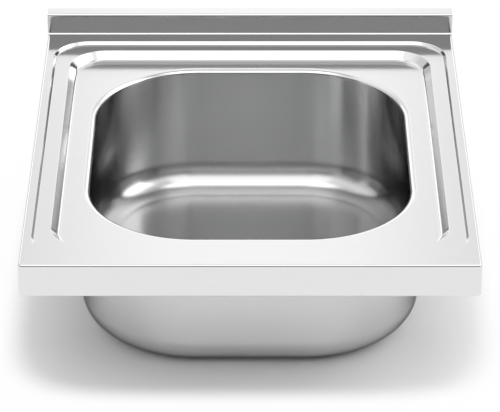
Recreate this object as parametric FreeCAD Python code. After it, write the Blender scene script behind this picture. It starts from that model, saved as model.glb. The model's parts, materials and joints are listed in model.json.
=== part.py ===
import FreeCAD, Part
import math
import os

# Sit-on stainless steel sink: folded sink top with a rear upstand, a deep drawn bowl with a flange that
# is welded under the sink top, stiffeners and cabinet clips, and a basket strainer waste in the bowl floor.
# Millimetres. X to the right, Y to the rear, Z up. The origin is on the plane on which the sink rests
# on its cabinet, in the middle of the plan.

V = FreeCAD.Vector

# Sink top
width = 500.0
depth = 600.0
sheet = 0.8
apron_height = 39.0
top_bend = 3.0
front_corner = 5.0
return_width = 15.0

# Rear upstand
upstand_height = 26.0
upstand_depth = 20.0
upstand_rear_fold = 15.0
upstand_bend = 3.0

# Pressed steps of the sink top
border_side = 11.0
border_end = 23.0
step_one_run = 2.6
step_one_drop = 3.5
step_one_corner = 42.0
ledge_side = 17.3
ledge_end = 19.4
step_two_run = 8.0
step_two_drop = 9.5
step_two_corner = 44.0

# Flat well between the steps and the bowl's opening, and how far both lie behind the middle
well_side = 29.1
well_end = 28.5
well_shift = 3.0

# Opening of the sink top, with its rolled rim
opening_corner = 120.0
rim_radius = 5.0
rim_land = 2.0
rim_collar = 0.5

# Bowl: its wall stands back from the opening, and its flange lies under the sink top
bowl_setback = 10.5
bowl_depth = 174.0
bowl_cove = 32.0
bowl_flange = 17.0
bowl_bend = 3.0

# Drain recess in the bowl floor, a margin behind the floor's front end
drain_margin = 6.0
drain_hole_radius = 45.0
recess_radius = 62.0
recess_run = 3.0
recess_drop = 3.2
recess_land = 1.0

# Stiffening channels under the sink top
channel_sheet = 1.0
channel_margin = 2.5
channel_height = 15.0
channel_side_length = 300.0
channel_end_length = 260.0

# Cabinet clips
clip_sheet = 1.5
clip_width = 25.0
clip_leg = 35.0
clip_seat = 11.0
clip_gap = 0.3
clip_hole_radius = 2.5
clip_hole_drop = 20.0
clip_spacing = 320.0

# Earth tag
tag_sheet = 1.2
tag_width = 18.0
tag_foot = 14.0
tag_drop = 28.0
tag_hole_radius = 3.2
tag_hole_margin = 8.0
tag_offset = 150.0

# Sound-deadening pad behind the drain recess
pad_thickness = 3.0
pad_margin = 13.0
pad_corner = 58.0
pad_gap = 8.0

# Waste: strainer cup and gaskets
flange_gasket_thickness = 1.2
flange_overlap = 12.0
cup_sheet = 0.8
cup_radius = 42.0
cup_depth = 31.0
cup_bend = 3.0
cup_hole_count = 8
cup_hole_radius = 5.0
cup_hole_ring = 19.0
body_gasket_thickness = 3.0
gasket_inset = 1.0

# Waste: moulded body
body_wall = 3.0
body_flange = 4.0
body_clearance = 3.0
body_skirt = 36.0
body_cone = 14.0
outlet_radius = 23.9
outlet_bore = 20.0
outlet_length = 32.0
hub_radius = 9.0
hub_height = 16.0
hub_gap = 4.0
rib_thickness = 3.0
rib_count = 3

# Waste: clamp screw and threaded insert
screw_radius = 3.0
screw_clearance = 0.3
thread_clearance = 0.05
screw_head_radius = 5.5
screw_head_height = 2.8
screw_slot_width = 1.2
screw_slot_depth = 1.4
screw_tip = 2.0
insert_radius = 5.5
insert_length = 13.0

# Basket
basket_sheet = 0.8
basket_gap = 0.9
basket_rim = 2.2
basket_taper = 4.5
basket_rim_drop = 1.6
basket_hole_radius = 2.0
basket_ring_radii = (12.0, 19.0, 26.0)
basket_ring_counts = (8, 13, 18)
basket_wall_rows = 2
basket_wall_holes = 24
basket_wall_row_pitch = 7.0
seal_height = 4.5
seal_width = 4.5
seal_lip = 1.5
seal_inset = 0.7
seal_clearance = 0.3
stem_radius = 2.4
stem_collar_radius = 4.2
stem_collar_height = 3.0
stem_rivet_height = 1.2
stem_length = 18.0
knob_radius = 9.0
knob_height = 9.0
knob_edge = 2.0
knob_socket = 6.0

# How far cuts run past a face, and how near two places count as the same
past = 1.0
same = 0.001

# Places worked out from the sizes above
deck_z = apron_height
front_y = -depth / 2
fold_y = depth / 2 - upstand_depth
deck_middle_y = (front_y + fold_y) / 2
bowl_middle_y = deck_middle_y + well_shift
deck_length = fold_y - front_y
ledge_z = deck_z - step_one_drop
well_z = ledge_z - step_two_drop
step_one_x = width / 2 - border_side
step_one_y = deck_length / 2 - border_end
step_two_x = step_one_x - step_one_run - ledge_side
step_two_y = step_one_y - step_one_run - ledge_end
well_x = step_two_x - step_two_run
well_y = step_two_y - step_two_run
opening_x = well_x - well_side
opening_y = well_y - well_end
bowl_x = opening_x + bowl_setback
bowl_y = opening_y + bowl_setback
bowl_corner = opening_corner + bowl_setback
lip_z = well_z - rim_radius - rim_collar
flange_z = well_z - sheet
floor_z = deck_z - bowl_depth
floor_under_z = floor_z - sheet
recess_reach = recess_radius + recess_land
drain = V(0, bowl_middle_y - bowl_y + bowl_cove + drain_margin + recess_reach, 0)
recess_z = floor_z - recess_drop
recess_under_z = recess_z - sheet
flange_radius = drain_hole_radius + flange_overlap
flange_under_z = recess_z + flange_gasket_thickness
flange_top_z = flange_under_z + cup_sheet
cup_floor_z = flange_top_z - cup_depth
cup_under_z = cup_floor_z - cup_sheet
body_top_z = recess_under_z - body_gasket_thickness
body_bore = cup_radius + body_clearance
body_cone_z = body_top_z - body_skirt
body_neck_z = body_cone_z - body_cone
outlet_z = body_neck_z - outlet_length
hub_z = cup_under_z - hub_gap
insert_z = hub_z - insert_length
screw_hole_radius = screw_radius + screw_clearance
basket_floor_z = cup_floor_z + seal_clearance + seal_height
basket_top_z = flange_top_z - basket_rim_drop
basket_rim_radius = cup_radius - cup_sheet - basket_gap
basket_wall_radius = basket_rim_radius - basket_rim
basket_floor_radius = basket_wall_radius - basket_taper


def rounded_rectangle(half_x, half_y, radius, z, middle_y=0.0):
    """Closed wire of four straight runs and four corner arcs, at height z."""
    corner = radius * (1 - math.sqrt(0.5))
    low_y = middle_y - half_y
    high_y = middle_y + half_y
    edges = []
    runs = [
        (V(radius - half_x, low_y, z), V(half_x - radius, low_y, z)),
        (V(half_x, low_y + radius, z), V(half_x, high_y - radius, z)),
        (V(half_x - radius, high_y, z), V(radius - half_x, high_y, z)),
        (V(-half_x, high_y - radius, z), V(-half_x, low_y + radius, z)),
    ]
    middles = [
        V(half_x - corner, low_y + corner, z), V(half_x - corner, high_y - corner, z),
        V(corner - half_x, high_y - corner, z), V(corner - half_x, low_y + corner, z),
    ]
    for number, (start, end) in enumerate(runs):
        following = runs[(number + 1) % len(runs)][0]
        edges.append(Part.LineSegment(start, end).toShape())
        edges.append(Part.Arc(end, middles[number], following).toShape())
    return Part.Wire(edges)


def rounded_prism(half_x, half_y, radius, low_z, high_z, middle_y=0.0):
    wire = rounded_rectangle(half_x, half_y, radius, low_z, middle_y)
    return Part.Face(wire).extrude(V(0, 0, high_z - low_z))


def polygon_face(points):
    return Part.Face(Part.makePolygon(list(points) + [points[0]]))


def plate(low_x, high_x, low_y, high_y, low_z, high_z):
    return Part.makeBox(high_x - low_x, high_y - low_y, high_z - low_z, V(low_x, low_y, low_z))


def turned(points, centre):
    """Solid of revolution about a vertical axis, from (radius, height) points."""
    face = polygon_face([V(radius, 0, z) for radius, z in points])
    solid = face.revolve(V(0, 0, 0), V(0, 0, 1), 360)
    solid.translate(centre)
    return solid


def ring(inner, outer, low_z, high_z, centre):
    return turned([(inner, low_z), (outer, low_z), (outer, high_z), (inner, high_z)], centre)


def edges_at_height(shape, z, keep=None):
    """Edges that lie flat at height z, and that pass the test keep."""
    found = []
    for edge in shape.Edges:
        box = edge.BoundBox
        level = abs(box.ZMin - z) < same and abs(box.ZMax - z) < same
        if level and (keep is None or keep(box)):
            found.append(edge)
    return found


def circle_edges(shape, radius, z):
    """Level circles of one radius at height z."""
    found = []
    for edge in edges_at_height(shape, z):
        if isinstance(edge.Curve, Part.Circle) and abs(edge.Curve.Radius - radius) < same:
            found.append(edge)
    return found


def hole_ring(count, ring_radius, hole_radius, low_z, high_z, centre):
    holes = []
    for number in range(count):
        angle = 2 * math.pi * number / count
        place = centre + V(ring_radius * math.cos(angle), ring_radius * math.sin(angle), low_z)
        holes.append(Part.makeCylinder(hole_radius, high_z - low_z, place))
    return holes


def under_shift(run, drop, thickness):
    """How far a slope's under side lies outside its top side, at the same fold, in a bent sheet."""
    return thickness * math.tan(math.atan2(drop, run) / 2)


def step_pocket(half_x, half_y, radius, top_z, run, drop, middle_y):
    """Pocket of one pressed step, continued a little above the step along its own slope."""
    grow = past * run / drop
    low = rounded_rectangle(half_x - run, half_y - run, radius - run, top_z - drop, middle_y)
    high = rounded_rectangle(half_x + grow, half_y + grow, radius + grow, top_z + past, middle_y)
    return Part.makeLoft([low, high], True, True)


def both_pockets(lower):
    """The two stepped pockets of the sink top, or of its under side where lower is the sheet."""
    grow_one = under_shift(step_one_run, step_one_drop, lower)
    grow_two = under_shift(step_two_run, step_two_drop, lower)
    first = step_pocket(
        step_one_x + grow_one, step_one_y + grow_one, step_one_corner + grow_one,
        deck_z - lower, step_one_run, step_one_drop, deck_middle_y)
    second = step_pocket(
        step_two_x + grow_two, step_two_y + grow_two, step_two_corner + grow_two,
        ledge_z - lower, step_two_run, step_two_drop, bowl_middle_y)
    return first, second


def tray(inset, low_z, high_z, rear_y):
    """Block of the sink top's plan, with rounded front corners and a rounded upper edge."""
    half = width / 2 - inset
    front = front_y + inset
    radius = front_corner - inset
    bend = top_bend - inset
    corner = radius * (1 - math.sqrt(0.5))
    outline = Part.Wire([
        Part.LineSegment(V(radius - half, front, low_z), V(half - radius, front, low_z)).toShape(),
        Part.Arc(
            V(half - radius, front, low_z), V(half - corner, front + corner, low_z),
            V(half, front + radius, low_z)).toShape(),
        Part.LineSegment(V(half, front + radius, low_z), V(half, rear_y, low_z)).toShape(),
        Part.LineSegment(V(half, rear_y, low_z), V(-half, rear_y, low_z)).toShape(),
        Part.LineSegment(V(-half, rear_y, low_z), V(-half, front + radius, low_z)).toShape(),
        Part.Arc(
            V(-half, front + radius, low_z), V(corner - half, front + corner, low_z),
            V(radius - half, front, low_z)).toShape(),
    ])
    block = Part.Face(outline).extrude(V(0, 0, high_z - low_z))
    bent = edges_at_height(block, high_z, lambda box: box.YMin < rear_y - same)
    return block.makeFillet(bend, bent)


def rim_ring():
    """Rolled rim of the opening, down to its lip inside the bowl."""
    reach = rim_radius + rim_land
    outer = rounded_prism(
        opening_x + reach, opening_y + reach, opening_corner + reach, lip_z, well_z, bowl_middle_y)
    outer = outer.cut(rounded_prism(opening_x, opening_y, opening_corner, lip_z, well_z, bowl_middle_y))
    rolled = edges_at_height(outer, well_z, lambda box: inside_opening(box, opening_x, opening_y))
    outer = outer.makeFillet(rim_radius, rolled)
    wide = reach + past
    under_z = well_z - sheet
    inner = rounded_prism(
        opening_x + wide, opening_y + wide, opening_corner + wide, lip_z - past, under_z, bowl_middle_y)
    inner = inner.cut(rounded_prism(
        opening_x + sheet, opening_y + sheet, opening_corner + sheet, lip_z - past, under_z, bowl_middle_y))
    rolled = edges_at_height(
        inner, under_z, lambda box: inside_opening(box, opening_x + sheet, opening_y + sheet))
    inner = inner.makeFillet(rim_radius - sheet, rolled)
    return outer.cut(inner)


def inside_opening(box, half_x, half_y):
    fits_x = box.XMax < half_x + same and box.XMin > -half_x - same
    fits_y = box.YMax < bowl_middle_y + half_y + same and box.YMin > bowl_middle_y - half_y - same
    return fits_x and fits_y


def upstand():
    """Rear upstand: front face, top and a short fold down at the back."""
    top_z = deck_z + upstand_height
    rear_y = depth / 2
    fold_z = top_z - upstand_rear_fold
    low_z = deck_z - sheet
    left = -width / 2
    outline = [
        (fold_y, low_z), (fold_y, top_z), (rear_y, top_z), (rear_y, fold_z), (rear_y - sheet, fold_z),
        (rear_y - sheet, top_z - sheet), (fold_y + sheet, top_z - sheet), (fold_y + sheet, low_z),
    ]
    solid = polygon_face([V(left, y, z) for y, z in outline]).extrude(V(width, 0, 0))
    outside = edges_at_height(solid, top_z, lambda box: box.XLength > width / 2)
    solid = solid.makeFillet(upstand_bend, outside)
    inside = edges_at_height(solid, top_z - sheet, lambda box: box.XLength > width / 2)
    return solid.makeFillet(upstand_bend - sheet, inside)


def make_deck():
    body = tray(0.0, 0.0, deck_z, fold_y)
    for pocket in both_pockets(0.0):
        body = body.cut(pocket)
    hollow = tray(sheet, sheet, deck_z - sheet, fold_y + past)
    for pocket in both_pockets(sheet):
        hollow = hollow.cut(pocket)
    body = body.cut(hollow)
    inner_x = width / 2 - return_width
    body = body.cut(plate(-inner_x, inner_x, front_y + return_width, fold_y + past, -past, sheet + past))
    reach = rim_radius + rim_land
    opening = rounded_prism(
        opening_x + reach, opening_y + reach, opening_corner + reach, lip_z, deck_z + past, bowl_middle_y)
    body = body.cut(opening)
    return body.multiFuse([rim_ring(), upstand()]).removeSplitter()


def make_upstand_end(side):
    """Plate that closes one end of the folded upstand, flush with the sink's side."""
    bend = upstand_bend - sheet
    top_z = deck_z + upstand_height - sheet
    start = width / 2 - sheet
    solid = plate(
        start, width / 2, fold_y + sheet, depth / 2 - sheet, deck_z - sheet, top_z)
    corners = edges_at_height(solid, top_z, lambda box: box.XLength > sheet / 2)
    solid = solid.makeFillet(bend, corners)
    if side < 0:
        solid = solid.mirror(V(0, 0, 0), V(1, 0, 0))
    return solid


def bowl_form(offset, low_z, high_z, cove, bend):
    """Filled form of the bowl: its flange above, its walls, and the curve down to its floor."""
    walls = rounded_prism(
        bowl_x + offset, bowl_y + offset, bowl_corner + offset, low_z, high_z, bowl_middle_y)
    walls = walls.makeFillet(cove, edges_at_height(walls, low_z))
    wide = bowl_flange + past
    over = rounded_prism(
        bowl_x + wide, bowl_y + wide, bowl_corner + wide, high_z, high_z + past, bowl_middle_y)
    form = walls.fuse(over).removeSplitter()
    inner_x = bowl_x + offset
    inner_y = bowl_y + offset
    bent = edges_at_height(form, high_z, lambda box: inside_opening(box, inner_x, inner_y))
    return form.makeFillet(bend, bent)


def make_bowl():
    outside = bowl_form(sheet, floor_under_z, flange_z - sheet, bowl_cove + sheet, bowl_bend - sheet)
    outside = outside.common(rounded_prism(
        bowl_x + bowl_flange, bowl_y + bowl_flange, bowl_corner + bowl_flange, floor_under_z, flange_z,
        bowl_middle_y))
    inside = bowl_form(0.0, floor_z, flange_z, bowl_cove, bowl_bend)
    hole = Part.makeCylinder(recess_reach, sheet + 2 * past, drain + V(0, 0, floor_under_z - past))
    shift = under_shift(recess_run, recess_drop, sheet)
    foot = recess_radius - recess_run
    recess = turned([
        (recess_reach, floor_z), (recess_radius, floor_z), (foot, recess_z), (drain_hole_radius, recess_z),
        (drain_hole_radius, recess_under_z), (foot + shift, recess_under_z),
        (recess_radius + shift, floor_under_z), (recess_reach, floor_under_z),
    ], drain)
    return outside.cut(inside).cut(hole).fuse(recess).removeSplitter()


def make_channel(along_x, strip, length, middle_x, middle_y):
    """Folded channel, open below, under the bowl's flange between its wall and the step."""
    top_z = flange_z - sheet
    low_z = top_z - channel_height
    half = strip / 2 - channel_margin
    solid = plate(-half, half, -length / 2, length / 2, low_z, top_z)
    hollow = half - channel_sheet
    space = plate(
        -hollow, hollow, -length / 2 - past, length / 2 + past, low_z - past, top_z - channel_sheet)
    solid = solid.cut(space)
    if along_x:
        solid.rotate(V(0, 0, 0), V(0, 0, 1), 90)
    solid.translate(V(middle_x, middle_y, 0))
    return solid


def make_clip(side, middle_y):
    """Angle clip: its seat lies on the return of the skirt, its leg hangs inside the cabinet's side."""
    edge_x = width / 2 - return_width
    outer_x = edge_x - clip_gap
    inner_x = outer_x - clip_sheet
    low_y = middle_y - clip_width / 2
    high_y = middle_y + clip_width / 2
    seat_z = sheet + clip_sheet
    seat = plate(inner_x, edge_x + clip_seat, low_y, high_y, sheet, seat_z)
    leg = plate(inner_x, outer_x, low_y, high_y, -clip_leg, seat_z)
    hole_start = V(inner_x - past, middle_y, -clip_hole_drop)
    hole = Part.makeCylinder(clip_hole_radius, clip_sheet + 2 * past, hole_start, V(1, 0, 0))
    solid = seat.fuse(leg).cut(hole).removeSplitter()
    if side < 0:
        solid = solid.mirror(V(0, 0, 0), V(1, 0, 0))
    return solid


def make_pad():
    half_x = bowl_x - bowl_cove - pad_margin
    front = drain.y + recess_reach + pad_gap
    rear = bowl_middle_y + bowl_y - bowl_cove - pad_margin
    low_z = floor_under_z - pad_thickness
    return rounded_prism(half_x, (rear - front) / 2, pad_corner, low_z, floor_under_z, (rear + front) / 2)


def make_earth_tag():
    """Angle tag welded under the rear border, with a hole for the earth screw."""
    top_z = deck_z - sheet
    front = fold_y - border_end + sheet
    low_x = tag_offset - tag_width / 2
    high_x = tag_offset + tag_width / 2
    foot = plate(low_x, high_x, front, front + tag_foot, top_z - tag_sheet, top_z)
    leg = plate(low_x, high_x, front, front + tag_sheet, top_z - tag_drop, top_z)
    hole_z = top_z - tag_drop + tag_hole_margin
    hole_start = V(tag_offset, front - past, hole_z)
    hole = Part.makeCylinder(tag_hole_radius, tag_sheet + 2 * past, hole_start, V(0, 1, 0))
    return foot.fuse(leg).cut(hole).removeSplitter()


def make_gasket(low_z, high_z):
    """Flat ring between the drain hole's edge and the edge of the flange that presses on it."""
    return ring(drain_hole_radius + gasket_inset, flange_radius - gasket_inset, low_z, high_z, drain)


def make_strainer_cup():
    inner = cup_radius - cup_sheet
    solid = turned([
        (flange_radius, flange_under_z), (flange_radius, flange_top_z), (inner, flange_top_z),
        (inner, cup_floor_z), (screw_hole_radius, cup_floor_z), (screw_hole_radius, cup_under_z),
        (cup_radius, cup_under_z), (cup_radius, flange_under_z),
    ], drain)
    solid = solid.makeFillet(cup_bend - cup_sheet, circle_edges(solid, inner, cup_floor_z))
    solid = solid.makeFillet(cup_bend, circle_edges(solid, cup_radius, cup_under_z))
    holes = hole_ring(
        cup_hole_count, cup_hole_ring, cup_hole_radius, cup_under_z - past, cup_floor_z + past, drain)
    return solid.cut(Part.makeCompound(holes))


def make_waste_body():
    """Moulded body: flange, skirt round the strainer cup, cone and outlet, with a ribbed hub inside."""
    outer = body_bore + body_wall
    shell = turned([
        (body_bore, body_top_z), (flange_radius, body_top_z), (flange_radius, body_top_z - body_flange),
        (outer, body_top_z - body_flange), (outer, body_cone_z), (outlet_radius, body_neck_z),
        (outlet_radius, outlet_z), (outlet_bore, outlet_z), (outlet_bore, body_neck_z + body_wall),
        (body_bore, body_cone_z + body_wall),
    ], drain)
    low_z = hub_z - hub_height
    hub = Part.makeCylinder(hub_radius, hub_height, drain + V(0, 0, low_z))
    hub = hub.cut(Part.makeCylinder(insert_radius, insert_length, drain + V(0, 0, insert_z)))
    hub = hub.cut(Part.makeCylinder(screw_hole_radius, hub_height, drain + V(0, 0, low_z)))
    rib_start = (hub_radius + insert_radius) / 2
    rib_end = body_bore + body_wall / 2
    half = rib_thickness / 2
    pieces = [hub]
    for number in range(rib_count):
        rib = plate(rib_start, rib_end, -half, half, low_z, hub_z)
        rib.rotate(V(0, 0, 0), V(0, 0, 1), 360.0 * number / rib_count)
        rib.translate(drain)
        pieces.append(rib.common(waste_envelope()))
    return shell.multiFuse(pieces).removeSplitter()


def waste_envelope():
    """Solid inside of the waste body, to the middle of its wall, which trims the ribs."""
    middle = body_bore + body_wall / 2
    neck = (outlet_bore + outlet_radius) / 2
    half = body_wall / 2
    return turned([
        (0, body_top_z), (middle, body_top_z), (middle, body_cone_z + half), (neck, body_neck_z + half),
        (neck, outlet_z), (0, outlet_z),
    ], drain)


def make_clamp_screw():
    shank = screw_radius - thread_clearance
    tip_z = insert_z - screw_tip
    head_z = cup_floor_z + screw_head_height
    solid = turned([
        (0, tip_z), (shank, tip_z), (shank, cup_floor_z), (screw_head_radius, cup_floor_z),
        (screw_head_radius, head_z - screw_slot_depth), (screw_head_radius - screw_slot_depth, head_z),
        (0, head_z),
    ], drain)
    half = screw_slot_width / 2
    slot = plate(
        -screw_head_radius, screw_head_radius, drain.y - half, drain.y + half,
        head_z - screw_slot_depth, head_z)
    return solid.cut(slot)


def make_clamp_insert():
    return ring(screw_radius, insert_radius, insert_z, hub_z, drain)


def make_basket():
    """Perforated basket: a rolled rim, a tapered wall and a flat floor."""
    top_z = basket_top_z
    floor_top = basket_floor_z + basket_sheet
    rim_under = top_z - basket_sheet
    solid = turned([
        (stem_radius, basket_floor_z), (basket_floor_radius, basket_floor_z),
        (basket_wall_radius, rim_under), (basket_rim_radius, rim_under), (basket_rim_radius, top_z),
        (basket_wall_radius - basket_sheet, top_z), (basket_floor_radius - basket_sheet, floor_top),
        (stem_radius, floor_top),
    ], drain)
    holes = []
    for ring_radius, count in zip(basket_ring_radii, basket_ring_counts):
        holes += hole_ring(
            count, ring_radius, basket_hole_radius, basket_floor_z - past, floor_top + past, drain)
    height = rim_under - floor_top
    for row in range(basket_wall_rows):
        offset = (row - (basket_wall_rows - 1) / 2) * basket_wall_row_pitch
        row_z = floor_top + height / 2 + offset
        for number in range(basket_wall_holes):
            angle = 360.0 * (number + row / 2) / basket_wall_holes
            hole = Part.makeCylinder(
                basket_hole_radius, 2 * basket_taper + 2 * basket_sheet,
                V(basket_floor_radius - basket_taper, 0, 0), V(1, 0, 0))
            hole.rotate(V(0, 0, 0), V(0, 0, 1), angle)
            hole.translate(drain + V(0, 0, row_z))
            holes.append(hole)
    return solid.cut(Part.makeCompound(holes))


def make_basket_seal():
    """Stopper ring under the basket floor, with a thin lip against the strainer cup."""
    outer = basket_floor_radius - seal_inset
    inner = outer - seal_width
    low_z = cup_floor_z + seal_clearance
    return turned([
        (inner, basket_floor_z), (outer, basket_floor_z), (outer, low_z), (outer - seal_lip, low_z),
        (inner, basket_floor_z - seal_height / 2),
    ], drain)


def make_basket_stem():
    floor_top = basket_floor_z + basket_sheet
    collar_top = floor_top + stem_collar_height
    rivet_z = basket_floor_z - stem_rivet_height
    top_z = floor_top + stem_length
    return turned([
        (0, rivet_z), (stem_collar_radius, rivet_z), (stem_collar_radius, basket_floor_z),
        (stem_radius, basket_floor_z), (stem_radius, floor_top), (stem_collar_radius, floor_top),
        (stem_collar_radius, collar_top), (stem_radius, collar_top), (stem_radius, top_z), (0, top_z),
    ], drain)


def make_basket_knob():
    top_of_stem = basket_floor_z + basket_sheet + stem_length
    low_z = top_of_stem - knob_socket
    high_z = low_z + knob_height
    solid = Part.makeCylinder(knob_radius, knob_height, drain + V(0, 0, low_z))
    rounded = circle_edges(solid, knob_radius, high_z) + circle_edges(solid, knob_radius, low_z)
    solid = solid.makeFillet(knob_edge, rounded)
    return solid.cut(Part.makeCylinder(stem_radius, knob_socket, drain + V(0, 0, low_z)))


def all_pieces():
    wall_x = bowl_x + sheet
    wall_y = bowl_y + sheet
    side_x = (wall_x + well_x) / 2
    side_strip = well_x - wall_x
    end_y = (wall_y + well_y) / 2
    end_strip = well_y - wall_y
    clip_y = clip_spacing / 2
    return {
        "deck": make_deck(),
        "upstand_end_left": make_upstand_end(-1),
        "upstand_end_right": make_upstand_end(1),
        "bowl": make_bowl(),
        "stiffener_left": make_channel(False, side_strip, channel_side_length, -side_x, bowl_middle_y),
        "stiffener_right": make_channel(False, side_strip, channel_side_length, side_x, bowl_middle_y),
        "stiffener_front": make_channel(True, end_strip, channel_end_length, 0, bowl_middle_y - end_y),
        "stiffener_rear": make_channel(True, end_strip, channel_end_length, 0, bowl_middle_y + end_y),
        "clip_front_left": make_clip(-1, deck_middle_y - clip_y),
        "clip_front_right": make_clip(1, deck_middle_y - clip_y),
        "clip_rear_left": make_clip(-1, deck_middle_y + clip_y),
        "clip_rear_right": make_clip(1, deck_middle_y + clip_y),
        "sound_pad": make_pad(),
        "earth_tag": make_earth_tag(),
        "flange_gasket": make_gasket(recess_z, flange_under_z),
        "strainer_cup": make_strainer_cup(),
        "body_gasket": make_gasket(body_top_z, recess_under_z),
        "waste_body": make_waste_body(),
        "clamp_screw": make_clamp_screw(),
        "clamp_insert": make_clamp_insert(),
        "strainer_basket": make_basket(),
        "basket_seal": make_basket_seal(),
        "basket_stem": make_basket_stem(),
        "basket_knob": make_basket_knob(),
    }


os.makedirs("parts", exist_ok=True)
for name, shape in all_pieces().items():
    shape.exportStep("parts/" + name + ".step")
    print(name, "solids", len(shape.Solids), "valid", shape.isValid(), "volume", round(shape.Volume, 1))
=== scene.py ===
import bpy
import bmesh
import json
import math
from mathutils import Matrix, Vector
from mathutils.geometry import tessellate_polygon


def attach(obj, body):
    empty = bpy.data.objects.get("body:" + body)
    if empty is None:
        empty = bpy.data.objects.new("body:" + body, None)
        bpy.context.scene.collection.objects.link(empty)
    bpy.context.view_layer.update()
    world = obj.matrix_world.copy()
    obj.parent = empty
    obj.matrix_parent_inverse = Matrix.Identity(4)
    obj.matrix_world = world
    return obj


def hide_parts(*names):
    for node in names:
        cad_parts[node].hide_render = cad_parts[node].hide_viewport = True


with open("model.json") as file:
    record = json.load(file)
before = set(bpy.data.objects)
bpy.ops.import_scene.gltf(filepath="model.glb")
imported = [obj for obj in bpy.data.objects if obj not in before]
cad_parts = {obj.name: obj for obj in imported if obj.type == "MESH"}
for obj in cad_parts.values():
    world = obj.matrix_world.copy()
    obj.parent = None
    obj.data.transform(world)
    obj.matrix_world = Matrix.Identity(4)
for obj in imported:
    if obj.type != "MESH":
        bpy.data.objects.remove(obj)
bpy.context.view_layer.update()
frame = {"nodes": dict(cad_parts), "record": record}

# Sizes of the sink in millimetres, in the row's frame
MM = 0.001
SHEET = 0.8
HALF_WIDTH = 250.0
FRONT_Y = -300.0
FOLD_Y = 280.0
REAR_Y = 300.0
DECK_MIDDLE_Y = -10.0
MIDDLE_Y = -7.0
DECK_Z = 39.0
LEDGE_Z = 35.5
WELL_Z = 26.0
LIP_Z = 20.5
FLANGE_Z = 25.2
UPSTAND_Z = 65.0
REAR_FOLD_Z = 50.0
PLAN_CORNER = 5.0
TOP_BEND = 3.0
FOOT_BEND = 1.5
RETURN_WIDTH = 15.0
RIM_RADIUS = 5.0
RIM_STRETCH = 1.4
BOWL_FLANGE = 17.0
BOWL_BEND = 3.0
COVE = 32.0
FLOOR_Z = -135.0
RECESS_Z = -138.2
RECESS_RADIUS = 62.0
RECESS_RUN = 3.0
RECESS_LAND = 3.0
RECESS_BEND = 1.5
DRAIN_RADIUS = 45.0
DRAIN_Y = -125.0

# Half width, half depth and corner radius of the rounded rectangles in plan
LEDGE_FOOT = (236.4, 264.4, 39.4)
WELL = (211.1, 237.0, 36.0)
OPENING = (182.0, 208.5, 120.0)
BOWL = (192.5, 219.0, 130.5)

# Run of each pressed step, the flats before and behind it, and the bends at its foot and top
STEP_ONE_RUN = 2.6
STEP_ONE_FLATS = (3.0, 2.0)
STEP_ONE_BENDS = (1.0, 0.6)
STEP_TWO_RUN = 8.0
STEP_TWO_FLATS = (6.0, 5.0)
STEP_TWO_BENDS = (5.0, 1.2)

# How finely bends and corners are divided, and how near a bend a flat gets its own edge
CORNER_STEPS = 40
BEND_STEPS = 8
COVE_STEPS = 36
ROUND_STEPS = 128
EASE = 0.4
POINT_DIGITS = 3
SHARP_ANGLE = 35.0


def outline(shape, grow, z, middle=MIDDLE_Y):
    """Rounded rectangle, counter-clockwise, grown by an offset."""
    half_x, half_y, radius = (size + grow for size in shape)
    points = []
    for sign_x, sign_y, start in ((1, -1, -90), (1, 1, 0), (-1, 1, 90), (-1, -1, 180)):
        middle_x = sign_x * (half_x - radius)
        middle_y = middle + sign_y * (half_y - radius)
        for number in range(CORNER_STEPS + 1):
            angle = math.radians(start + 90.0 * number / CORNER_STEPS)
            points.append((middle_x + radius * math.cos(angle), middle_y + radius * math.sin(angle), z))
    return points


def circle(radius, z):
    """Level circle about the drain's axis."""
    turns = [2 * math.pi * number / ROUND_STEPS for number in range(ROUND_STEPS)]
    return [(radius * math.cos(turn), DRAIN_Y + radius * math.sin(turn), z) for turn in turns]


def rounded(points, radii, steps=BEND_STEPS):
    """Profile through the points, with each inner corner rounded and a short flat next to it."""
    path = [Vector(points[0])]
    for number in range(1, len(points) - 1):
        corner = Vector(points[number])
        back = (Vector(points[number - 1]) - corner).normalized()
        ahead = (Vector(points[number + 1]) - corner).normalized()
        radius = radii[number - 1]
        half = back.angle(ahead) / 2
        reach = radius / math.tan(half)
        middle = corner + (back + ahead).normalized() * (radius / math.sin(half))
        start = corner + back * reach
        end = corner + ahead * reach
        path.append(start + back * EASE)
        first = start - middle
        sweep = first.angle_signed(end - middle)
        for step in range(steps + 1):
            turn = -sweep * step / steps
            cos, sin = math.cos(turn), math.sin(turn)
            path.append(middle + Vector((first.x * cos - first.y * sin, first.x * sin + first.y * cos)))
        path.append(end + ahead * EASE)
    path.append(Vector(points[-1]))
    return path


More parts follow.
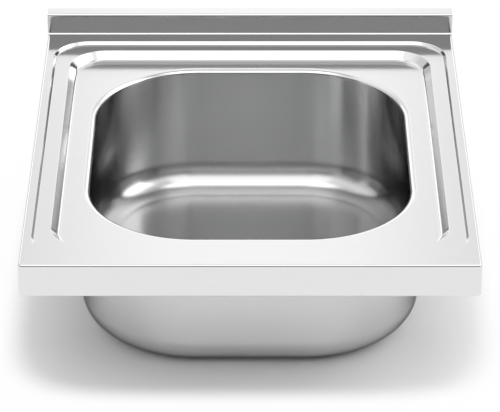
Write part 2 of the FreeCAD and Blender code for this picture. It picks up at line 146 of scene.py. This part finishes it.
class Skin:
    """Surface built from lofted rows of points in millimetres, which can be given a thickness."""

    def __init__(self):
        self.mesh = bmesh.new()
        self.known = {}

    def vertex(self, point):
        key = tuple(round(value, POINT_DIGITS) for value in point)
        if key not in self.known:
            self.known[key] = self.mesh.verts.new(Vector(point) * MM)
        return self.known[key]

    def face(self, points):
        corners = []
        for point in points:
            corner = self.vertex(point)
            if corner not in corners:
                corners.append(corner)
        if len(corners) > 2 and self.mesh.faces.get(corners) is None:
            self.mesh.faces.new(corners)

    def loft(self, rows, closed):
        for low, high in zip(rows, rows[1:]):
            count = len(low)
            for number in range(count if closed else count - 1):
                after = (number + 1) % count
                self.face((low[number], high[number], high[after], low[after]))

    def fill(self, outer, hole):
        """Flat area between an outer loop and a hole."""
        loops = [[Vector(point) for point in loop] for loop in (outer, hole)]
        points = outer + hole
        for triangle in tessellate_polygon(loops):
            corners = [points[index] for index in triangle]
            ab = Vector(corners[1]) - Vector(corners[0])
            ac = Vector(corners[2]) - Vector(corners[0])
            if ab.cross(ac).z < 0:
                corners.reverse()
            self.face(corners)

    def placed(self, name):
        """The bare surface as an object of the scene."""
        data = bpy.data.meshes.new(name)
        self.mesh.to_mesh(data)
        self.mesh.free()
        made = bpy.data.objects.new(name, data)
        bpy.context.scene.collection.objects.link(made)
        return made

    def solid(self, name, thickness):
        """The surface as a sheet of even thickness, with sharp cut edges."""
        bare = self.placed(name + "_skin")
        skin = bare.data
        thick = bare.modifiers.new("sheet", "SOLIDIFY")
        thick.thickness = thickness * MM
        thick.offset = -1.0
        thick.use_even_offset = True
        bpy.context.view_layer.update()
        made = bpy.data.meshes.new_from_object(bare.evaluated_get(bpy.context.evaluated_depsgraph_get()))
        bpy.data.objects.remove(bare)
        bpy.data.meshes.remove(skin)
        return shaded(name, made)


def shaded(name, mesh):
    """Object for a mesh, smooth apart from its sharp edges, with flats kept flat."""
    mesh.name = name
    mesh.polygons.foreach_set("use_smooth", [True] * len(mesh.polygons))
    mesh.set_sharp_from_angle(angle=math.radians(SHARP_ANGLE))
    made = bpy.data.objects.new(name, mesh)
    bpy.context.scene.collection.objects.link(made)
    weighted = made.modifiers.new("flats", "WEIGHTED_NORMAL")
    weighted.keep_sharp = True
    return made


# Sink top: rolled rim, well, two pressed steps, border, apron and skirts with their returns, upstand
def border_path(inset, z):
    """Outer edge of the sink top from its rear left to its rear right end, moved in by an inset."""
    radius = PLAN_CORNER - inset
    middle_x = HALF_WIDTH - PLAN_CORNER
    middle_y = FRONT_Y + PLAN_CORNER
    side = HALF_WIDTH - inset
    points = [(-side, FOLD_Y, z), (-side, FOLD_Y - FOOT_BEND - EASE, z)]
    for sign, start in ((-1, 180), (1, 270)):
        for number in range(BEND_STEPS + 1):
            angle = math.radians(start + 90.0 * number / BEND_STEPS)
            x = sign * middle_x + radius * math.cos(angle)
            points.append((x, middle_y + radius * math.sin(angle), z))
    return points + [(side, FOLD_Y - FOOT_BEND - EASE, z), (side, FOLD_Y, z)]


def return_path(z):
    """Inner edge of the returns, with square corners."""
    inner_x = HALF_WIDTH - RETURN_WIDTH
    inner_y = FRONT_Y + RETURN_WIDTH
    left = [(-inner_x, FOLD_Y, z), (-inner_x, FOLD_Y - FOOT_BEND - EASE, z)]
    left += [(-inner_x, inner_y, z)] * (BEND_STEPS + 1)
    return left + [(-x, y, z) for x, y, z in reversed(left)]


def step_profile(foot_z, top_z, run, flats, bends):
    """Section of a pressed step, from the flat before its foot to the flat behind its top."""
    before, behind = flats
    return rounded([(-before, foot_z), (0.0, foot_z), (run, top_z), (run + behind, top_z)], bends)


def make_sink_top():
    skin = Skin()
    rim = rounded(
        [(0.0, LIP_Z), (0.0, WELL_Z), (RIM_RADIUS + 2 * EASE, WELL_Z)], [RIM_RADIUS], 2 * BEND_STEPS)
    step_two = step_profile(WELL_Z, LEDGE_Z, STEP_TWO_RUN, STEP_TWO_FLATS, STEP_TWO_BENDS)
    step_one = step_profile(LEDGE_Z, DECK_Z, STEP_ONE_RUN, STEP_ONE_FLATS, STEP_ONE_BENDS)
    rows = [outline(OPENING, RIM_STRETCH * grow, z) for grow, z in rim]
    rows += [outline(WELL, grow, z) for grow, z in step_two]
    rows += [outline(LEDGE_FOOT, grow, z, DECK_MIDDLE_Y) for grow, z in step_one]
    skin.loft(rows, True)
    edge = rounded(
        [(TOP_BEND + EASE, DECK_Z), (0.0, DECK_Z), (0.0, 0.0), (FOOT_BEND + EASE, 0.0)],
        [TOP_BEND, FOOT_BEND])
    sides = [border_path(inset, z) for inset, z in edge[1:]]
    sides.append(return_path(0.0))
    skin.loft(sides, False)
    skin.fill(sides[0][1:-1], rows[-1])
    make_upstand(skin, sides[0])
    return skin.solid("sink_top", SHEET)


def make_upstand(skin, border):
    """Upstand over the whole width, folded up from the sink top behind its border."""
    side = border[-1][0]
    profile = rounded(
        [(FOLD_Y - FOOT_BEND - EASE, DECK_Z), (FOLD_Y, DECK_Z), (FOLD_Y, UPSTAND_Z), (REAR_Y, UPSTAND_Z),
         (REAR_Y, REAR_FOLD_Z)], [FOOT_BEND, TOP_BEND, TOP_BEND])[1:]
    columns = (-HALF_WIDTH, -side, side, HALF_WIDTH)
    for start, end in zip(columns, columns[1:]):
        for low, high in zip(profile, profile[1:]):
            skin.face([(x, y, z) for x, (y, z) in ((start, low), (end, low), (end, high), (start, high))])


# Bowl: drain recess, floor, cove, walls and the flange under the sink top
def make_bowl():
    skin = Skin()
    foot = RECESS_RADIUS - RECESS_RUN
    land = RECESS_RADIUS + RECESS_LAND
    recess = rounded(
        [(DRAIN_RADIUS, RECESS_Z), (foot, RECESS_Z), (RECESS_RADIUS, FLOOR_Z), (land, FLOOR_Z)],
        [RECESS_BEND, RECESS_BEND])
    rounds = [circle(radius, z) for radius, z in recess]
    skin.loft(rounds, True)
    wall = rounded(
        [(-COVE - 2 * EASE, FLOOR_Z), (0.0, FLOOR_Z), (0.0, FLANGE_Z), (BOWL_FLANGE, FLANGE_Z)],
        [COVE, BOWL_BEND], COVE_STEPS)[1:]
    rows = [outline(BOWL, grow, z) for grow, z in wall]
    skin.loft(rows, True)
    skin.fill(rows[0], rounds[-1])
    return skin.solid("bowl_shell", SHEET)


# Materials. Noise has most of its values between two limits, and its scale is per metre.
NOISE_LIMITS = (0.3, 0.7)
BROAD_SCALE = 40.0
BROAD_DETAIL = 4.0
FINE_SCALE = 240.0
FINE_DETAIL = 2.0
FINE_DEPTH = 0.00002
GRAIN_DETAIL = 5.0
QUARTER_TURN = 0.25


def material(name):
    made = bpy.data.materials.new(name)
    made.use_nodes = True
    tree = made.node_tree
    return made, tree, tree.nodes["Principled BSDF"]


def link(tree, start, end):
    tree.links.new(start, end)


def streaks(tree, stretch, scale, detail):
    """Noise in the object's own coordinates, squeezed along each axis by a stretch."""
    place = tree.nodes.new("ShaderNodeTexCoord")
    shape = tree.nodes.new("ShaderNodeMapping")
    shape.inputs["Scale"].default_value = stretch
    noise = tree.nodes.new("ShaderNodeTexNoise")
    noise.inputs["Scale"].default_value = scale
    noise.inputs["Detail"].default_value = detail
    link(tree, place.outputs["Object"], shape.inputs["Vector"])
    link(tree, shape.outputs["Vector"], noise.inputs["Vector"])
    return noise.outputs["Fac"]


def spread(tree, value, low, high):
    """Brings noise into a range."""
    scale = tree.nodes.new("ShaderNodeMapRange")
    scale.inputs["From Min"].default_value, scale.inputs["From Max"].default_value = NOISE_LIMITS
    scale.inputs["To Min"].default_value = low
    scale.inputs["To Max"].default_value = high
    link(tree, value, scale.inputs["Value"])
    return scale.outputs["Result"]


def tinted(tree, value, dark, light):
    """Colour between a dark and a light one, after the noise."""
    ramp = tree.nodes.new("ShaderNodeValToRGB")
    for element, position, colour in zip(ramp.color_ramp.elements, NOISE_LIMITS, (dark, light)):
        element.position = position
        element.color = (*colour, 1.0)
    link(tree, value, ramp.inputs["Fac"])
    return ramp.outputs["Color"]


def bumped(tree, value, shader, strength, distance):
    bump = tree.nodes.new("ShaderNodeBump")
    bump.inputs["Strength"].default_value = strength
    bump.inputs["Distance"].default_value = distance
    link(tree, value, bump.inputs["Height"])
    link(tree, bump.outputs["Normal"], shader.inputs["Normal"])


def steel(name, dark, light, rough, stretch, bump, drawn=0.0, glancing=1.0):
    """Metal with streaked colour and roughness and fine brushing. Its reflections can be drawn out
    upwards, and weakened at glancing angles."""
    made, tree, shader = material(name)
    shader.inputs["Metallic"].default_value = 1.0
    shader.inputs["Specular Tint"].default_value = (glancing, glancing, glancing, 1.0)
    shader.inputs["Anisotropic"].default_value = drawn
    shader.inputs["Anisotropic Rotation"].default_value = QUARTER_TURN
    around = tree.nodes.new("ShaderNodeTangent")
    around.direction_type = "RADIAL"
    around.axis = "Z"
    link(tree, around.outputs["Tangent"], shader.inputs["Tangent"])
    broad = streaks(tree, stretch, BROAD_SCALE, BROAD_DETAIL)
    link(tree, tinted(tree, broad, dark, light), shader.inputs["Base Color"])
    link(tree, spread(tree, broad, *rough), shader.inputs["Roughness"])
    fine = streaks(tree, stretch, FINE_SCALE, FINE_DETAIL)
    bumped(tree, fine, shader, bump, FINE_DEPTH)
    return made


def dull(name, dark, light, rough, scale, bump, distance):
    """Rubber, bitumen or moulded plastic: grained colour and roughness."""
    made, tree, shader = material(name)
    grain = streaks(tree, PLAIN, scale, GRAIN_DETAIL)
    link(tree, tinted(tree, grain, dark, light), shader.inputs["Base Color"])
    link(tree, spread(tree, grain, *rough), shader.inputs["Roughness"])
    bumped(tree, grain, shader, bump, distance)
    return made


# Stretch of the noise for brushing across, brushing around the bowl, even metal and plain grain
ACROSS = (1.0, 40.0, 40.0)
AROUND = (1.0, 1.0, 16.0)
EVEN = (6.0, 6.0, 6.0)
PLAIN = (1.0, 1.0, 1.0)

# Dark and light colour, limits of roughness, stretch and strength of the brushing, and for the bowl
# how far reflections are drawn out and how strong they are at glancing angles
METALS = {
    "sink_steel": ((0.76, 0.76, 0.762), (0.79, 0.79, 0.79), (0.10, 0.12), ACROSS, 0.01),
    "bowl_steel": ((0.628, 0.63, 0.632), (0.648, 0.648, 0.648), (0.19, 0.20), AROUND, 0.003, 0.85, 0.3),
    "galvanised_steel": ((0.50, 0.52, 0.54), (0.66, 0.68, 0.70), (0.34, 0.5), EVEN, 0.1),
    "waste_steel": ((0.70, 0.70, 0.71), (0.80, 0.80, 0.81), (0.12, 0.2), EVEN, 0.05),
    "knob_chrome": ((0.78, 0.79, 0.80), (0.84, 0.85, 0.86), (0.05, 0.1), EVEN, 0.02),
    "insert_brass": ((0.62, 0.45, 0.18), (0.76, 0.58, 0.28), (0.2, 0.32), EVEN, 0.05),
}
# Dark and light colour, limits of roughness, and scale, strength and depth of the grain
DULL_STUFF = {
    "pad_bitumen": ((0.07, 0.07, 0.075), (0.13, 0.13, 0.135), (0.75, 0.9), 900.0, 0.5, 0.0004),
    "gasket_rubber": ((0.03, 0.03, 0.032), (0.05, 0.05, 0.052), (0.6, 0.75), 700.0, 0.2, 0.0002),
    "waste_plastic": ((0.80, 0.81, 0.81), (0.85, 0.86, 0.86), (0.42, 0.5), 1400.0, 0.1, 0.0001),
}
MATERIALS = {name: steel(name, *look) for name, look in METALS.items()}
MATERIALS.update({name: dull(name, *look) for name, look in DULL_STUFF.items()})


def finish_piece(piece, slot, *nodes):
    """Gives a piece its material. A piece made here also rides on the sink and replaces CAD nodes."""
    piece.data.materials.clear()
    piece.data.materials.append(MATERIALS[slot])
    if nodes:
        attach(piece, "sink")
        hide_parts(*nodes)


finish_piece(make_sink_top(), "sink_steel", "deck")
finish_piece(make_bowl(), "bowl_steel", "bowl")
REPLACED = ("deck", "bowl")
for part in frame["record"]["subparts"]:
    if part["node"] not in REPLACED:
        finish_piece(frame["nodes"][part["node"]], part["material_slot"])


# Stage floor under the bowl in millimetres, its first ring leaving room for the waste that hangs below
STAGE_Z = -139.3
STAGE_RINGS = (61.0, 300.0, 1000.0, 3000.0, 8000.0)
STAGE_GREYS = ((0.94, 0.94, 0.94), (0.95, 0.95, 0.95))
STAGE_GRAIN = 3.0
STAGE_ROUGHNESS = 0.9
STAGE_SHEEN = 0.1

# Reach of the sink's shadow in metres, the squareness of its outline, the shares of the reach over which
# it fades to plain white for the camera and for mirrored rays, and the most that is plain white
SHADOW_REACH = (0.27, 0.28)
SHADOW_SQUARENESS = 6.0
FADE = (0.92, 1.07)
MIRRORED_FADE = (1.15, 1.45)
MOST_WHITE = 0.95


def calculate(tree, operation, *values):
    """Math node on numbers and outputs of other nodes."""
    node = tree.nodes.new("ShaderNodeMath")
    node.operation = operation
    for socket, value in zip(node.inputs, values):
        if isinstance(value, float):
            socket.default_value = value
        else:
            link(tree, value, socket)
    return node.outputs["Value"]


def eased(tree, value, start, end, most=1.0):
    """Grows smoothly from 0 to the most between a start and an end."""
    ramp = tree.nodes.new("ShaderNodeMapRange")
    ramp.interpolation_type = "SMOOTHSTEP"
    ramp.inputs["From Min"].default_value = start
    ramp.inputs["From Max"].default_value = end
    ramp.inputs["To Max"].default_value = most
    link(tree, value, ramp.inputs["Value"])
    return ramp.outputs["Result"]


def mixed(tree, share, first, second):
    """Shader between two others."""
    mix = tree.nodes.new("ShaderNodeMixShader")
    for socket, value in zip(mix.inputs, (share, first, second)):
        link(tree, value, socket)
    return mix.outputs["Shader"]


def background_share(tree):
    """Share of plain white, for the camera and for mirrored rays, that grows outside the sink's shadow."""
    place = tree.nodes.new("ShaderNodeTexCoord")
    parts = tree.nodes.new("ShaderNodeSeparateXYZ")
    link(tree, place.outputs["Object"], parts.inputs["Vector"])
    sides = []
    for axis, reach in zip("XY", SHADOW_REACH):
        side = calculate(tree, "ABSOLUTE", calculate(tree, "DIVIDE", parts.outputs[axis], reach))
        sides.append(calculate(tree, "POWER", side, SHADOW_SQUARENESS))
    distance = calculate(tree, "POWER", calculate(tree, "ADD", *sides), 1.0 / SHADOW_SQUARENESS)
    path = tree.nodes.new("ShaderNodeLightPath")
    mirrored = calculate(tree, "MAXIMUM", path.outputs["Is Glossy Ray"], path.outputs["Is Transmission Ray"])
    shares = []
    for seen, ends in ((path.outputs["Is Camera Ray"], FADE), (mirrored, MIRRORED_FADE)):
        shares.append(calculate(tree, "MULTIPLY", seen, eased(tree, distance, *ends, MOST_WHITE)))
    return calculate(tree, "MAXIMUM", *shares)


def make_floor():
    """Pale floor that keeps the sink's shadow and is clear from below."""
    skin = Skin()
    skin.loft([circle(radius, STAGE_Z) for radius in STAGE_RINGS], True)
    floor = skin.placed("floor")
    made, tree, shader = material("floor")
    grain = streaks(tree, PLAIN, STAGE_GRAIN, FINE_DETAIL)
    link(tree, tinted(tree, grain, *STAGE_GREYS), shader.inputs["Base Color"])
    shader.inputs["Roughness"].default_value = STAGE_ROUGHNESS
    shader.inputs["Specular IOR Level"].default_value = STAGE_SHEEN
    white = tree.nodes.new("ShaderNodeEmission")
    clear = tree.nodes.new("ShaderNodeBsdfTransparent")
    side = tree.nodes.new("ShaderNodeNewGeometry")
    lit = mixed(tree, background_share(tree), shader.outputs["BSDF"], white.outputs["Emission"])
    shown = mixed(tree, side.outputs["Backfacing"], lit, clear.outputs["BSDF"])
    link(tree, shown, tree.nodes["Material Output"].inputs["Surface"])
    floor.data.materials.append(made)


make_floor()


# Studio, in degrees: azimuth 0 is the camera's side and 90 the right, elevation 0 is the horizon.
# A card has azimuth, half width, elevation, half height, soft edge and brightness,
# and lies over those before it.
ROOM_LEVEL = 1.1
CARDS = {
    "left wall": (-100.0, 48.0, 12.0, 26.0, 10.0, 0.75),
    "right wall": (100.0, 48.0, 8.0, 14.0, 8.0, 0.6),
    "right softbox": (100.0, 38.0, 36.0, 14.0, 8.0, 2.5),
    "left ceiling": (-70.0, 26.0, 61.0, 8.0, 4.0, 0.95),
    "right ceiling": (70.0, 26.0, 61.0, 8.0, 4.0, 0.62),
    "rear wall foot": (180.0, 46.0, 0.0, 10.0, 3.0, 0.42),
    "rear wall": (180.0, 40.0, 17.0, 8.0, 3.0, 1.45),
    "rear wall top": (180.0, 36.0, 31.0, 7.0, 2.0, 0.92),
    "rear window": (180.0, 3.5, 31.0, 7.0, 2.0, 1.17),
    "dark front": (0.0, 66.0, 4.0, 28.0, 4.0, 0.12),
    "left screen": (-48.0, 14.0, 24.0, 6.0, 4.0, 0.55),
    "camera screen": (0.0, 8.0, 26.0, 7.0, 3.0, 0.34),
    "front softbox": (0.0, 40.0, 50.0, 10.0, 4.0, 1.6),
    "screen top": (0.0, 14.0, 36.0, 5.0, 3.0, 0.42),
    "rear ceiling": (180.0, 90.0, 80.0, 17.0, 4.0, 0.6),
    "front ceiling": (0.0, 85.0, 75.0, 8.0, 4.0, 2.7),
}


def within(tree, angle, middle, half, edge):
    """1 less than a half width from a middle, 0 outside it, with a soft edge between."""
    turn = calculate(tree, "SUBTRACT", angle, math.radians(middle))
    distance = calculate(tree, "ABSOLUTE", calculate(tree, "WRAP", turn, math.pi, -math.pi))
    return eased(tree, distance, math.radians(half + edge), math.radians(half - edge))


def make_studio():
    """Room of one even brightness, with the cards painted over it."""
    world = bpy.data.worlds.new("studio")
    bpy.context.scene.world = world
    world.use_nodes = True
    tree = world.node_tree
    light = tree.nodes["Background"]
    light.inputs["Color"].default_value = (1.0, 1.0, 1.0, 1.0)
    place = tree.nodes.new("ShaderNodeTexCoord")
    parts = tree.nodes.new("ShaderNodeSeparateXYZ")
    link(tree, place.outputs["Generated"], parts.inputs["Vector"])
    forward = calculate(tree, "MULTIPLY", parts.outputs["Y"], -1.0)
    azimuth = calculate(tree, "ARCTAN2", parts.outputs["X"], forward)
    elevation = calculate(tree, "ARCSINE", parts.outputs["Z"])
    level = ROOM_LEVEL
    for middle, half_width, height, half_height, edge, brightness in CARDS.values():
        across = within(tree, azimuth, middle, half_width, edge)
        along = within(tree, elevation, height, half_height, edge)
        share = calculate(tree, "MULTIPLY", across, along)
        behind = calculate(tree, "MULTIPLY", calculate(tree, "SUBTRACT", 1.0, share), level)
        level = calculate(tree, "MULTIPLY_ADD", share, brightness, behind)
    link(tree, level, light.inputs["Strength"])


make_studio()

# Camera at the photograph's place: in front of the sink, looking down on it
CAMERA_PLACE = (0.0, -3.188, 1.6833)
CAMERA_DOWN = 28.56
CAMERA_LENS = 222.8
SENSOR_WIDTH = 36.0
camera_data = bpy.data.cameras.new("camera")
camera_data.lens = CAMERA_LENS
camera_data.sensor_width = SENSOR_WIDTH
camera = bpy.data.objects.new("camera", camera_data)
camera.location = CAMERA_PLACE
camera.rotation_euler = (math.radians(90.0 - CAMERA_DOWN), 0.0, 0.0)
bpy.context.scene.collection.objects.link(camera)
bpy.context.scene.camera = camera
bpy.context.scene.view_settings.view_transform = "Standard"
